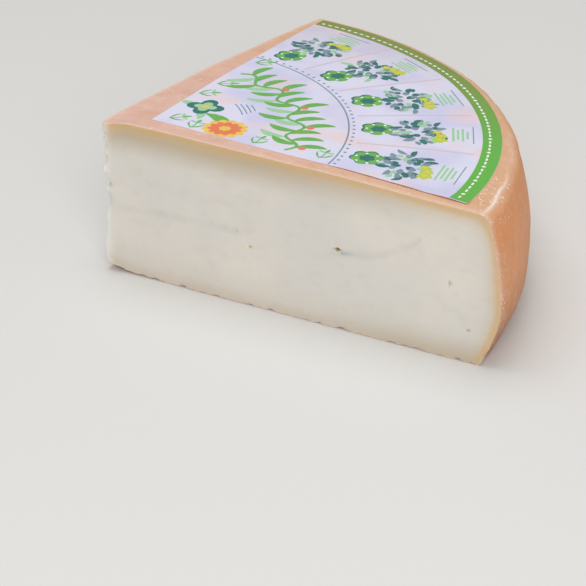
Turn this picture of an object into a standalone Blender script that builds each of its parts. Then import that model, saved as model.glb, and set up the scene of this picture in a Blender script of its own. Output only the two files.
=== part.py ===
"""A quarter of a pressed cow's-milk cheese wheel with an ash line, lying on its flat base.

Run with: blender --background --python part.py
Units are metres and +Z is up. The origin is under the middle of the quarter, on the base.
The front cut faces -Y, the back cut faces -X, and the two meet at the tip.
Mesh coordinates are measured from the tip, which an empty carries to its place.
"""
import math

import bmesh
import bpy
from mathutils import Vector, noise

MM = 0.001

# The whole wheel that the quarter was cut from, and its middle as seen from the tip
WHEEL_RADIUS = 178.1 * MM
AXIS_X = -4.4 * MM
AXIS_Y = -16.0 * MM
RIM_HEIGHT = 58.4 * MM
WHEEL_STEPS = 112

# The upper rind is gently domed: its fall at a distance from the middle, and how fast it grows
MIDDLE_HEIGHT = 63.35 * MM
TOP_FALL = 2.9 * MM
TOP_FALL_REACH = 160.0 * MM
TOP_FALL_POWER = 2.66
# Rings of points on the flat sides, as shares of their radius, closer near the tip
TOP_RINGS = (0.0, 0.03, 0.07, 0.12, 0.18, 0.26, 0.38, 0.50, 0.62, 0.74, 0.85, 0.93)
TOP_WAVE = 0.45 * MM
TOP_WAVE_LENGTH = 48.0 * MM

# The heel bulges between a round shoulder above and a tighter round below
BELLY_HEIGHT = 23.0 * MM
DRAW_IN_ABOVE = 6.6 * MM
DRAW_IN_BELOW = 7.8 * MM
HEEL_RINGS = 8
SHOULDER_ROUND = 5.0 * MM
FOOT_ROUND = 2.5 * MM
ROUND_STEPS = 4
# Degrees from level at which a round hands over to the heel's own curve
ROUND_END = 10
HEEL_WOBBLE = 0.8 * MM
HEEL_WOBBLE_COUNT = 4
HEEL_WOBBLE_TURN = math.radians(75)
HEEL_LUMP = 0.5 * MM
HEEL_LUMP_LENGTH = 21.0 * MM

# The unsupported tip has sunk a little on top and lifts off the table below
TIP_SINK = 1.3 * MM
TIP_SINK_REACH = 6.5 * MM
TIP_LIFT = 4.7 * MM
TIP_LIFT_REACH = 8.0 * MM
TIP_LIFT_END = 36.0 * MM

# The back cut leans in by this much for each step away from the tip
CUT_LEAN = 0.046

# The two knife cuts: slow waves, and a worn edge where they meet
KNIFE_BLOCK = 200.0 * MM
KNIFE_BLOCK_BELOW = 12.0 * MM
KNIFE_BLOCK_TALL = 96.0 * MM
KNIFE_CUTS = 23
KNIFE_CROWDING = 1.45
KNIFE_WAVE = 0.55 * MM
KNIFE_WAVE_LENGTH = 42.0 * MM
TIP_WEAR = -0.4 * MM
TIP_CRUMB = 0.3 * MM
TIP_CRUMB_LENGTH = 9.0 * MM
# Height, depth and half height of each bite out of the tip's edge
TIP_BITES = (
    (50.0 * MM, 0.5 * MM, 5.0 * MM),
    (36.5 * MM, 1.6 * MM, 1.8 * MM),
    (29.0 * MM, 1.6 * MM, 4.5 * MM),
    (18.0 * MM, 0.6 * MM, 5.0 * MM),
)

# The ash layer: a thin sheet through the paste that turns up near the heel
ASH_RADIUS = 145.6 * MM
ASH_THICKNESS = 0.9 * MM
ASH_TAPER = 20.0 * MM
ASH_HEIGHT = 28.2 * MM
ASH_RISE = 0.028
ASH_TURN_UP = 12.4 * MM
ASH_TURN_START = 100.6 * MM
ASH_TURN_POWER = 3.2
ASH_TIP_DROP = 2.6 * MM
ASH_TIP_REACH = 11.0 * MM
ASH_WAVE = 0.6 * MM
ASH_WAVE_LENGTH = 34.0 * MM
ASH_RINGS = 15
ASH_RING_CROWDING = 0.75
ASH_STEPS = 72

# The paper label on the upper rind: part of a disc with two straight sides
LABEL_RADIUS = 156.0 * MM
LABEL_X = 0.5 * MM
LABEL_Y = -4.8 * MM
LABEL_FRONT_MARGIN = 9.5 * MM
LABEL_FRONT_LEAN = 0.033
LABEL_BACK_MARGIN = 17.3 * MM
LABEL_BACK_LEAN = 0.048
LABEL_THICKNESS = 0.3 * MM
# The flat faces of rind and label bring this down to 0.4 mm in places
LABEL_STAND = 0.6 * MM
LABEL_RINGS = 13
LABEL_STEPS = 88

# Small eyes in the paste: cut, place along it, height, half width, half height, depth
EYES = (
    ("front", 66.6 * MM, 24.6 * MM, 0.9 * MM, 0.7 * MM, 0.8 * MM),
    ("front", 152.3 * MM, 29.9 * MM, 0.5 * MM, 1.5 * MM, 0.8 * MM),
    ("front", 160.5 * MM, 12.9 * MM, 0.8 * MM, 0.7 * MM, 0.6 * MM),
    ("back", 38.0 * MM, 45.0 * MM, 1.4 * MM, 1.0 * MM, 1.4 * MM),
    ("back", 96.0 * MM, 17.0 * MM, 1.9 * MM, 1.0 * MM, 1.5 * MM),
    ("back", 131.0 * MM, 50.5 * MM, 1.1 * MM, 1.5 * MM, 1.3 * MM),
)

# Clear gap between touching pieces
GAP = 0.3 * MM

# Points closer than this are one point
WELD = 0.01 * MM

# Edges that turn more than this stay sharp in the shading
SHARP_TURN = math.radians(40)

# Colours as seen, in sRGB
RIND_COLOUR = (0.80, 0.62, 0.50)
PASTE_COLOUR = (0.86, 0.83, 0.77)
ASH_COLOUR = (0.42, 0.44, 0.45)
LABEL_COLOUR = (0.84, 0.86, 0.90)

# The quarter reaches this far from its tip, so the tip stands at half of it from the origin.
# It reaches furthest back at the back cut, which leans
REACH_X = AXIS_X + math.sqrt(WHEEL_RADIUS ** 2 - AXIS_Y ** 2)
BACK_TURN = math.pi / 2 - math.atan(CUT_LEAN)
BACK_ALONG = AXIS_X * math.cos(BACK_TURN) + AXIS_Y * math.sin(BACK_TURN)
BACK_ACROSS = AXIS_X * math.sin(BACK_TURN) - AXIS_Y * math.cos(BACK_TURN)
REACH_Y = (BACK_ALONG + math.sqrt(WHEEL_RADIUS ** 2 - BACK_ACROSS ** 2)) * math.sin(BACK_TURN)


def linear(channel):
    """Turns one sRGB channel into the linear value that a shader takes."""
    if channel <= 0.04045:
        return channel / 12.92
    return ((channel + 0.055) / 1.055) ** 2.4


def material(name, colour, roughness):
    """A plain Principled material."""
    made = bpy.data.materials.new(name)
    made.use_nodes = True
    shader = made.node_tree.nodes["Principled BSDF"]
    shader.inputs["Base Color"].default_value = (*(linear(c) for c in colour), 1.0)
    shader.inputs["Roughness"].default_value = roughness
    shader.inputs["Metallic"].default_value = 0.0
    return made


def collection(name):
    """A new collection in the scene."""
    made = bpy.data.collections.new(name)
    bpy.context.scene.collection.children.link(made)
    return made


def from_axis(x, y):
    """Distance of a place on the plan from the wheel's middle."""
    return math.hypot(x - AXIS_X, y - AXIS_Y)


def top_height(x, y):
    """Height of the upper rind over a place on the plan."""
    fall = TOP_FALL * (from_axis(x, y) / TOP_FALL_REACH) ** TOP_FALL_POWER
    sink = TIP_SINK * math.exp(-(math.hypot(x, y) / TIP_SINK_REACH) ** 2)
    wave = TOP_WAVE * noise.noise(Vector((x, y, 0.0)) / TOP_WAVE_LENGTH)
    return MIDDLE_HEIGHT - fall - sink + wave


def base_height(x, y):
    """Height of the under side: flat, and lifted only close to the tip."""
    away = math.hypot(x, y)
    if away > TIP_LIFT_END:
        return 0.0
    lift = TIP_LIFT * math.exp(-away / TIP_LIFT_REACH)
    return lift * (1.0 - away / TIP_LIFT_END)


def ash_height(x, y):
    """Height of the ash layer's middle."""
    out = from_axis(x, y)
    past = max(0.0, out - ASH_TURN_START) / (ASH_RADIUS - ASH_TURN_START)
    drop = ASH_TIP_DROP * math.exp(-math.hypot(x, y) / ASH_TIP_REACH)
    wave = ASH_WAVE * noise.noise(Vector((x, y, 1.0)) / ASH_WAVE_LENGTH)
    return ASH_HEIGHT + ASH_RISE * out + ASH_TURN_UP * past ** ASH_TURN_POWER - drop + wave


def ash_stretch(x, y):
    """How much taller the sheet is upright than across it, where it climbs."""
    past = max(0.0, from_axis(x, y) - ASH_TURN_START) / (ASH_RADIUS - ASH_TURN_START)
    climb = ASH_TURN_UP * ASH_TURN_POWER / (ASH_RADIUS - ASH_TURN_START)
    return math.hypot(1.0, climb * past ** (ASH_TURN_POWER - 1.0))


def arc(radius, height, size, start, end):
    """Points of (radius, height) along a round of the outline, degrees from level."""
    points = []
    for step in range(ROUND_STEPS + 1):
        angle = math.radians(start + (end - start) * step / ROUND_STEPS)
        points.append((radius + size * math.cos(angle), height + size * math.sin(angle)))
    return points


def heel_radius(height):
    """Outer radius of the heel at a height, with its widest place at the belly."""
    if height > BELLY_HEIGHT:
        above = (height - BELLY_HEIGHT) / (RIM_HEIGHT - BELLY_HEIGHT)
        return WHEEL_RADIUS - DRAW_IN_ABOVE * above ** 2
    below = (BELLY_HEIGHT - height) / BELLY_HEIGHT
    return WHEEL_RADIUS - DRAW_IN_BELOW * below ** 2


def wheel_outline():
    """Half of the wheel's section, from the middle of the top to the middle of the base."""
    shoulder_x = heel_radius(RIM_HEIGHT - SHOULDER_ROUND) - SHOULDER_ROUND
    foot_x = heel_radius(FOOT_ROUND) - FOOT_ROUND
    top = [(shoulder_x * ring, RIM_HEIGHT) for ring in TOP_RINGS]
    shoulder = arc(shoulder_x, RIM_HEIGHT - SHOULDER_ROUND, SHOULDER_ROUND, 90, ROUND_END)
    fall = (RIM_HEIGHT - SHOULDER_ROUND - FOOT_ROUND) / HEEL_RINGS
    heights = [RIM_HEIGHT - SHOULDER_ROUND - fall * (i + 0.5) for i in range(HEEL_RINGS)]
    heel = [(heel_radius(height), height) for height in heights]
    foot = arc(foot_x, FOOT_ROUND, FOOT_ROUND, -ROUND_END, -90)
    base = [(foot_x * ring, 0.0) for ring in reversed(TOP_RINGS)]
    return top + shoulder + heel + foot + base


def disc_outline(radius, thickness, edge_thickness):
    """Half of a flat disc's section, thinner towards its edge."""
    rings = [radius * (i / ASH_RINGS) ** ASH_RING_CROWDING for i in range(ASH_RINGS + 1)]
    halves = []
    for ring in rings:
        thin = max(0.0, 1.0 - (radius - ring) / ASH_TAPER)
        halves.append((thickness + (edge_thickness - thickness) * thin) / 2)
    upper = list(zip(rings, halves))
    lower = [(ring, -half) for ring, half in reversed(upper)]
    return upper + lower


def turned(name, outline, x, y, steps):
    """Turns an outline once about an upright axis at x, y, as a plain mesh seen from the tip."""
    section = bpy.data.meshes.new(name + "_section")
    shape = bmesh.new()
    points = [shape.verts.new((radius, 0.0, height)) for radius, height in outline]
    for first, second in zip(points, points[1:]):
        shape.edges.new((first, second))
    shape.to_mesh(section)
    shape.free()
    guide = bpy.data.objects.new(name + "_guide", section)
    bpy.context.scene.collection.objects.link(guide)
    screw = guide.modifiers.new("turn", "SCREW")
    screw.steps = steps
    screw.render_steps = steps
    screw.use_merge_vertices = True
    screw.merge_threshold = WELD
    bpy.context.view_layer.update()
    ready = guide.evaluated_get(bpy.context.evaluated_depsgraph_get())
    made = bpy.data.meshes.new_from_object(ready)
    bpy.data.objects.remove(guide)
    bpy.data.meshes.remove(section)
    for vertex in made.vertices:
        vertex.co.x += x
        vertex.co.y += y
    made.name = name
    return made


def moved(mesh, rule):
    """Moves every vertex of a mesh by a rule that takes and gives x, y, z."""
    for vertex in mesh.vertices:
        vertex.co = rule(*vertex.co)
    return mesh


def rind_place(x, y, z):
    """Carries a point of the plain turned wheel to its place on the real, uneven one."""
    out = from_axis(x, y)
    share = (out / WHEEL_RADIUS) ** 6
    turn = math.atan2(y - AXIS_Y, x - AXIS_X)
    wobble = HEEL_WOBBLE * math.cos(HEEL_WOBBLE_COUNT * (turn - HEEL_WOBBLE_TURN))
    lump = HEEL_LUMP * noise.noise(Vector((x, y, z)) / HEEL_LUMP_LENGTH)
    grow = 1.0 + share * (wobble + lump) / WHEEL_RADIUS
    x = AXIS_X + (x - AXIS_X) * grow
    y = AXIS_Y + (y - AXIS_Y) * grow
    low = base_height(x, y)
    return x, y, low + z / RIM_HEIGHT * (top_height(x, y) - low)


def ash_place(x, y, z):
    """Carries a point of the flat ash disc to the wavy sheet."""
    return x, y, ash_height(x, y) + z * ash_stretch(x, y)


def knife_place(x, y, z):
    """Carries a point of the plain block to the two wavy cuts and the worn tip."""
    on_back = x < GAP
    on_front = y < GAP
    x = KNIFE_BLOCK * (x / KNIFE_BLOCK) ** KNIFE_CROWDING
    y = KNIFE_BLOCK * (y / KNIFE_BLOCK) ** KNIFE_CROWDING
    x += CUT_LEAN * y * (1.0 - x / KNIFE_BLOCK)
    if on_front and on_back:
        wear = TIP_WEAR + TIP_CRUMB * noise.noise(Vector((0.0, 0.0, z)) / TIP_CRUMB_LENGTH)
        for height, depth, half in TIP_BITES:
            wear += depth * math.exp(-((z - height) / half) ** 2)
        return wear, wear, z
    if on_front:
        y += KNIFE_WAVE * noise.noise(Vector((x, 2.0, z)) / KNIFE_WAVE_LENGTH)
    if on_back:
        x += KNIFE_WAVE * noise.noise(Vector((3.0, y, z)) / KNIFE_WAVE_LENGTH)
    return x, y, z


def placed(mesh, group, tip, finish):
    """Puts a mesh in the scene on the empty at the tip, shaded smooth with sharp cuts."""
    obj = bpy.data.objects.new(mesh.name, mesh)
    obj.parent = tip
    mesh.materials.clear()
    mesh.materials.append(finish)
    mesh.shade_smooth()
    mesh.set_sharp_from_angle(angle=SHARP_TURN)
    group.objects.link(obj)
    return obj


def cutter(mesh, group, tip, finish):
    """A placed mesh that only cuts other pieces."""
    obj = placed(mesh, group, tip, finish)
    obj.hide_render = True
    obj.display_type = "WIRE"
    return obj


def boolean(obj, tool, operation):
    """Cuts or trims an object with another, which gives the new faces its finish."""
    cut = obj.modifiers.new(tool.name, "BOOLEAN")
    cut.operation = operation
    cut.object = tool
    cut.material_mode = "TRANSFER"
    cut.show_viewport = True
    cut.show_render = True


def knife_block():
    """The quarter of space that the two cuts leave, as a block of small faces."""
    shape = bmesh.new()
    bmesh.ops.create_cube(shape, size=1.0)
    bmesh.ops.subdivide_edges(shape, edges=shape.edges[:], cuts=KNIFE_CUTS, use_grid_fill=True)
    for vertex in shape.verts:
        vertex.co.x = (vertex.co.x + 0.5) * KNIFE_BLOCK
        vertex.co.y = (vertex.co.y + 0.5) * KNIFE_BLOCK
        vertex.co.z = (vertex.co.z + 0.5) * KNIFE_BLOCK_TALL - KNIFE_BLOCK_BELOW
    mesh = bpy.data.meshes.new("knife_block")
    shape.to_mesh(mesh)
    shape.free()
    return moved(mesh, knife_place)


def eye(name, cut, along, height, half_width, half_height, depth):
    """A small rounded hollow, half of it sunk in one of the cut faces."""
    shape = bmesh.new()
    bmesh.ops.create_icosphere(shape, subdivisions=1, radius=1.0)
    for vertex in shape.verts:
        sideways, inward, upward = vertex.co
        sideways *= half_width
        inward *= depth
        upward = height + upward * half_height
        if cut == "front":
            vertex.co = (along + sideways, inward, upward)
        else:
            vertex.co = (CUT_LEAN * along + inward, along - sideways, upward)
    mesh = bpy.data.meshes.new(name)
    shape.to_mesh(mesh)
    shape.free()
    return mesh


def label_sheet():
    """The label as one thin face that follows the upper rind."""
    rings = [(LABEL_RADIUS * i / LABEL_RINGS, 0.0) for i in range(LABEL_RINGS + 1)]
    mesh = turned("label", rings, LABEL_X, LABEL_Y, LABEL_STEPS)
    shape = bmesh.new()
    shape.from_mesh(mesh)
    sides = (
        ((0.0, LABEL_FRONT_MARGIN, 0.0), (-LABEL_FRONT_LEAN, -1.0, 0.0)),
        ((LABEL_BACK_MARGIN, 0.0, 0.0), (-1.0, -LABEL_BACK_LEAN, 0.0)),
    )
    for place, outward in sides:
        whole = shape.verts[:] + shape.edges[:] + shape.faces[:]
        bmesh.ops.bisect_plane(
            shape, geom=whole, dist=WELD, plane_co=place, plane_no=outward, clear_outer=True
        )
    for vertex in shape.verts:
        vertex.co.z = top_height(vertex.co.x, vertex.co.y) + LABEL_STAND
    for face in shape.faces:
        face.normal_update()
        if face.normal.z < 0:
            face.normal_flip()
    shape.to_mesh(mesh)
    shape.free()
    return mesh


def build():
    """Makes the quarter: the cheese with its rind, the ash layer and the label."""
    for old in list(bpy.data.objects):
        bpy.data.objects.remove(old)
    pieces = collection("cheese_quarter")
    cutters = collection("cutters")

    rind = material("rind", RIND_COLOUR, 0.75)
    paste = material("paste", PASTE_COLOUR, 0.55)
    ash = material("ash", ASH_COLOUR, 0.8)
    paper = material("label_paper", LABEL_COLOUR, 0.6)

    tip = bpy.data.objects.new("tip", None)
    tip.location = (-REACH_X / 2, -REACH_Y / 2, 0.0)
    pieces.objects.link(tip)

    knife = cutter(knife_block(), cutters, tip, paste)
    slot_outline = disc_outline(
        ASH_RADIUS + GAP, ASH_THICKNESS + 2 * GAP, ASH_THICKNESS / 2 + 2 * GAP
    )
    slot_mesh = moved(turned("ash_slot", slot_outline, AXIS_X, AXIS_Y, ASH_STEPS), ash_place)
    slot = cutter(slot_mesh, cutters, tip, paste)

    wheel_mesh = turned("cheese", wheel_outline(), AXIS_X, AXIS_Y, WHEEL_STEPS)
    cheese = placed(moved(wheel_mesh, rind_place), pieces, tip, rind)
    boolean(cheese, knife, "INTERSECT")
    boolean(cheese, slot, "DIFFERENCE")
    for number, hollow in enumerate(EYES, start=1):
        tool = cutter(eye(f"eye_{number}", *hollow), cutters, tip, paste)
        boolean(cheese, tool, "DIFFERENCE")

    ash_outline = disc_outline(ASH_RADIUS, ASH_THICKNESS, ASH_THICKNESS / 2)
    ash_mesh = moved(turned("ash_layer", ash_outline, AXIS_X, AXIS_Y, ASH_STEPS), ash_place)
    layer = placed(ash_mesh, pieces, tip, ash)
    boolean(layer, knife, "INTERSECT")

    label = placed(label_sheet(), pieces, tip, paper)
    thicken = label.modifiers.new("paper", "SOLIDIFY")
    thicken.thickness = LABEL_THICKNESS
    thicken.offset = 1.0


if __name__ == "__main__":
    build()
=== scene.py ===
"""Looks of a quarter of pressed cheese: washed rind, ivory paste, ash line and printed label.

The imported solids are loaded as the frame. Each operator below makes one piece over them, or the
plain studio round them. Lengths are in metres, and +Z is up. Shapes are worked out from the
quarter's tip, where the two cuts meet, and are moved to the frame's origin at the end.
"""
import math

import bpy
import numpy as np
from bpy.props import FloatProperty, FloatVectorProperty, IntProperty, PointerProperty
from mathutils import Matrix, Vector, noise


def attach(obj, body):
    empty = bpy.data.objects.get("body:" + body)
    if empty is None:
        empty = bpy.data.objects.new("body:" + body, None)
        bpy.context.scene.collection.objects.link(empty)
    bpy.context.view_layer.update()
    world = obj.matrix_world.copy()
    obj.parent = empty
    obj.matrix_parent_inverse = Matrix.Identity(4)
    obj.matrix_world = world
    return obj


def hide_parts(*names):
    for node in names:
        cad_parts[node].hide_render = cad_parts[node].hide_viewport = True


bl_info = {
    "name": "Cheese quarter",
    "version": (1, 0, 0),
    "blender": (4, 5, 0),
    "location": "View3D > Sidebar > Cheese",
    "description": "Dresses the solids of a cheese quarter with rind, paste, ash and label",
    "category": "Object",
}

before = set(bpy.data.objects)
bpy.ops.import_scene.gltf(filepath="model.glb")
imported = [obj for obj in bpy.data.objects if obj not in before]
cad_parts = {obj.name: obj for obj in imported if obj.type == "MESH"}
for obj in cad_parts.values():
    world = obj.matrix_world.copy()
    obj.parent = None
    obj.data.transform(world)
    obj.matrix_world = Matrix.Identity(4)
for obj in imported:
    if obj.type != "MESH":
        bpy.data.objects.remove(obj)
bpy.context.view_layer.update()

MM = 0.001

# The whole wheel that the quarter was cut from, and its middle as seen from the tip
WHEEL_RADIUS = 178.1 * MM
AXIS_X = -4.4 * MM
AXIS_Y = -16.0 * MM
RIM_HEIGHT = 58.4 * MM
MIDDLE_HEIGHT = 63.35 * MM
TOP_FALL = 2.9 * MM
TOP_FALL_REACH = 160.0 * MM
TOP_FALL_POWER = 2.66
TOP_WAVE = 0.45 * MM
TOP_WAVE_LENGTH = 48.0 * MM

# The heel bulges between a round shoulder above and a tighter round below
BELLY_HEIGHT = 23.0 * MM
DRAW_IN_ABOVE = 6.6 * MM
DRAW_IN_BELOW = 7.8 * MM
SHOULDER_ROUND = 5.0 * MM
FOOT_ROUND = 2.5 * MM
HEEL_WOBBLE = 0.8 * MM
HEEL_WOBBLE_COUNT = 4
HEEL_WOBBLE_TURN = math.radians(75)
HEEL_LUMP = 0.5 * MM
HEEL_LUMP_LENGTH = 21.0 * MM

# The tip has sunk on top and lifts off the table below
TIP_SINK = 1.3 * MM
TIP_SINK_REACH = 6.5 * MM
TIP_LIFT = 4.7 * MM
TIP_LIFT_REACH = 8.0 * MM
TIP_LIFT_END = 36.0 * MM

# The back cut leans in by this much for each step away from the tip
CUT_LEAN = 0.046
BACK_TURN = math.pi / 2 - math.atan(CUT_LEAN)

# The two cuts and the worn, rounded edge where they meet
KNIFE_WAVE = 0.55 * MM
KNIFE_WAVE_LENGTH = 42.0 * MM
KNIFE_WAVE_REACH = 10.0 * MM
KNIFE_WAVE_START = 4.0 * MM
CUT_SWELL = 0.14 * MM
CUT_SWELL_LENGTH = 26.0 * MM
TIP_ROUND = 1.3 * MM
TIP_FLARE = 0.75 * MM
TIP_CRUMB = 0.3 * MM
TIP_CRUMB_LENGTH = 9.0 * MM
TIP_WEAR_REACH = 3.0 * MM
# How far from the tip the painted light on its edge reaches
TIP_PALE_REACH = 2.8 * MM
TIP_FLAKE = 1.0 * MM
TIP_FLAKE_LENGTH = 3.4 * MM
TIP_FLAKE_REACH = 1.6 * MM
TIP_FLAKE_GRIT = 1.6 * MM
TIP_FLAKE_START = (24 * MM, 31 * MM)
# Height, depth and half height of each bite out of the tip's edge, in millimetres
TIP_BITES = (
    (56.4, 0.7, 1.3), (50.0, 0.5, 5.0), (36.5, 1.6, 1.8), (29.0, 1.6, 4.5), (18.0, 0.6, 5.0),
)

# Small eyes in millimetres: cut, place along it, height, half width, half height and depth
EYES = (
    ("front", 66.6, 24.6, 0.9, 0.7, 0.8),
    ("front", 105.1, 32.7, 1.2, 0.7, 1.6),
    ("front", 152.3, 29.9, 0.5, 1.5, 0.8),
    ("front", 160.5, 12.9, 0.8, 0.7, 0.6),
    ("back", 38.0, 45.0, 1.4, 1.0, 1.4),
    ("back", 96.0, 17.0, 1.9, 1.0, 1.5),
    ("back", 131.0, 50.5, 1.1, 1.5, 1.3),
)
# The second of them is a dark crack in the ash line
CRACK = 1
EYE_CROWD_REACH = 6.0 * MM
EYE_CROWD = 0.8
EYE_RAGGED_LENGTH = 1.4 * MM
EYE_REACH_IN = 3.0 * MM
EYE_SHALLOW = 0.7
# How far an eye takes its own colour, and how far the crack takes painted shade
EYE_DARK = 0.22
CRACK_DARK = 0.9

# How far in from an edge crumbs are missing, and how much the rind rises under the label
NIBBLE_REACH = 0.9 * MM
LABEL_BED = 0.25 * MM
# The shoulder's white line, salt with a painted highlight, and the cells that hold a white dot each
CREST_PLACE = 1.3 * MM
CREST_WIDTH = 0.62 * MM
SALT_CELL = 1.15 * MM

# The ash layer, which turns up near the heel
ASH_RADIUS = 145.6 * MM
ASH_START = 1.2 * MM
ASH_EDGE_REACH = 4.0 * MM
ASH_LEAST_HALF = 0.06 * MM
ASH_HIDE = 1.2 * MM
ASH_SEEN_FROM = 0.93
ASH_HEIGHT = 28.2 * MM
ASH_RISE = 0.028
ASH_TURN_UP = 12.4 * MM
ASH_TURN_START = 100.6 * MM
ASH_TURN_POWER = 3.2
ASH_TIP_DROP = 2.6 * MM
ASH_TIP_REACH = 11.0 * MM
ASH_WAVE = 0.6 * MM
ASH_WAVE_LENGTH = 34.0 * MM
# How strongly the ash shows along each cut: millimetres from the tip, and share
ASH_SHOWS_FRONT = (
    (0, 0.1), (8, 0.2), (12, 0.5), (18, 0.15), (22, 0.5), (26, 0.9), (33, 0.75), (40, 0.45),
    (47, 0.25), (52, 0.7), (59, 0.85), (62, 1.0), (64, 0.15), (70, 0.0), (99, 0.0), (104, 0.7),
    (108, 1.0), (112, 1.0), (118, 0.6), (125, 0.7), (132, 0.25), (137, 0.5), (141, 0.6),
    (145, 0.2), (150, 0.0),
)
ASH_SHOWS_BACK = (
    (0, 0.1), (12, 0.7), (24, 0.9), (31, 0.2), (40, 0.6), (58, 1.0), (69, 0.5), (76, 0.0),
    (84, 0.5), (97, 0.9), (106, 0.8), (118, 0.3), (128, 0.9), (137, 0.7), (142, 0.3), (150, 0.0),
)

# The label: part of a disc with two straight sides, its middle as seen from the tip
LABEL_RADIUS = 156.0 * MM
LABEL_X = 0.5 * MM
LABEL_Y = -4.8 * MM
LABEL_FRONT_MARGIN = 9.5 * MM
LABEL_FRONT_LEAN = 0.033
LABEL_BACK_MARGIN = 17.3 * MM
LABEL_BACK_LEAN = 0.048
# The print is drawn in millimetres on a label of this radius, and scaled to the real one
DRAWN_RADIUS = 150.0

# The tip stands at half of the quarter's reach from the origin
REACH_X = AXIS_X + math.sqrt(WHEEL_RADIUS ** 2 - AXIS_Y ** 2)
BACK_ALONG = AXIS_X * math.cos(BACK_TURN) + AXIS_Y * math.sin(BACK_TURN)
BACK_ACROSS = AXIS_X * math.sin(BACK_TURN) - AXIS_Y * math.cos(BACK_TURN)
REACH_Y = (BACK_ALONG + math.sqrt(WHEEL_RADIUS ** 2 - BACK_ACROSS ** 2)) * math.sin(BACK_TURN)
TIP = np.array((-REACH_X / 2, -REACH_Y / 2, 0.0))

# How finely the cheese is meshed: turns about the tip, rows over a flat side, rows of each
# half round, and rows up the heel
TURN_STEPS = 184
FLAT_TIP_ROWS = (0.0, 0.25, 0.5, 0.77, 1.02, 1.4, 1.9, 2.6, 3.5, 4.6, 5.8, 7.0)
FLAT_ROWS = 118
ROUND_ROWS = 5
HEEL_ROWS = 88
# How finely the sheets are meshed: turns by runs
ASH_GRID = (31, 151)
LABEL_GRID = (141, 91)

# Points nearer than these are one
PLAIN_WELD = 0.0001 * MM
LABEL_WELD = 0.001 * MM
# Points nearer than this to the flat top or base are on it
FLAT_GAP = 0.01 * MM

# The print's place: its least distance from the straight sides, the lowest ink's height, what
# each layer adds and how deep each goes into the paper
PRINT_MARGIN = 0.3 * MM
INK_HEIGHT = 0.05 * MM
INK_STEP = 0.035 * MM
INK_DEPTH = 0.04 * MM
INKS = ("band", "blush", "green", "leaf", "teal", "slate", "lime", "orange", "yellow", "white")
BEADS = 62
GOLDEN_TURN = 2.39996
POSY_INKS = ("teal", "slate", "teal", "slate", "leaf", "slate", "teal")
# Discs of the flowers: ink, layer, middle, radius, petals, depth of their cuts and twist
ROSETTE = (
    ("teal", 0, (-0.5, -0.5), 6.4, 6, 0.2, 0),
    ("green", 1, (0, 0), 6.0, 6, 0.2, 0),
    ("teal", 2, (0, 0), 3.1, 6, 0.24, 30),
)
MARIGOLD = (
    ("yellow", 1, (0, 0), 8.8, 13, 0.16, 0),
    ("orange", 2, (0, 0), 6.6, 11, 0.22, 9),
    ("yellow", 3, (0, 0), 2.4, 7, 0.2, 0),
)
BLOSSOM = (
    ("teal", 1, (0, 0), 7.6, 4, 0.42, 45),
    ("leaf", 2, (0, 0), 4.6, 4, 0.42, 45),
    ("yellow", 3, (0, 0), 1.4, 0, 0.0, 0),
)
# Radius, turn and lean of each sprig
SPRIGS = (
    (27, 41, -20), (35, 23, 30), (61, 13, 24), (88, 9.4, 28), (48, 71, -28), (60, 74.5, -30),
    (88, 80, -26),
)

# The studio floor, just under the cheese
FLOOR_REACH = 4.0
FLOOR_HEIGHT = -0.1 * MM

# The photograph's camera
CAMERA_PLACE = (0.44124, -0.81495, 0.41790)
CAMERA_TILT = math.radians(90.0 - 25.46)
CAMERA_TURN = math.radians(31.04)
CAMERA_LENS = 153.42


def sight(name, description, colour):
    """A colour as it looks, which a user can change."""
    return FloatVectorProperty(
        name=name, description=description, subtype="COLOR_GAMMA", size=3, min=0.0, max=1.0,
        default=tuple(channel / 255 for channel in colour),
    )


def length(name, description, default):
    """A length that a user can change."""
    return FloatProperty(
        name=name, description=description, subtype="DISTANCE", unit="LENGTH", min=0.0,
        precision=5, default=default,
    )


def watts(name, description, default):
    """A lamp's power that a user can change."""
    return FloatProperty(
        name=name, description=description, subtype="POWER", unit="POWER", min=0.0,
        default=default,
    )


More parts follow.
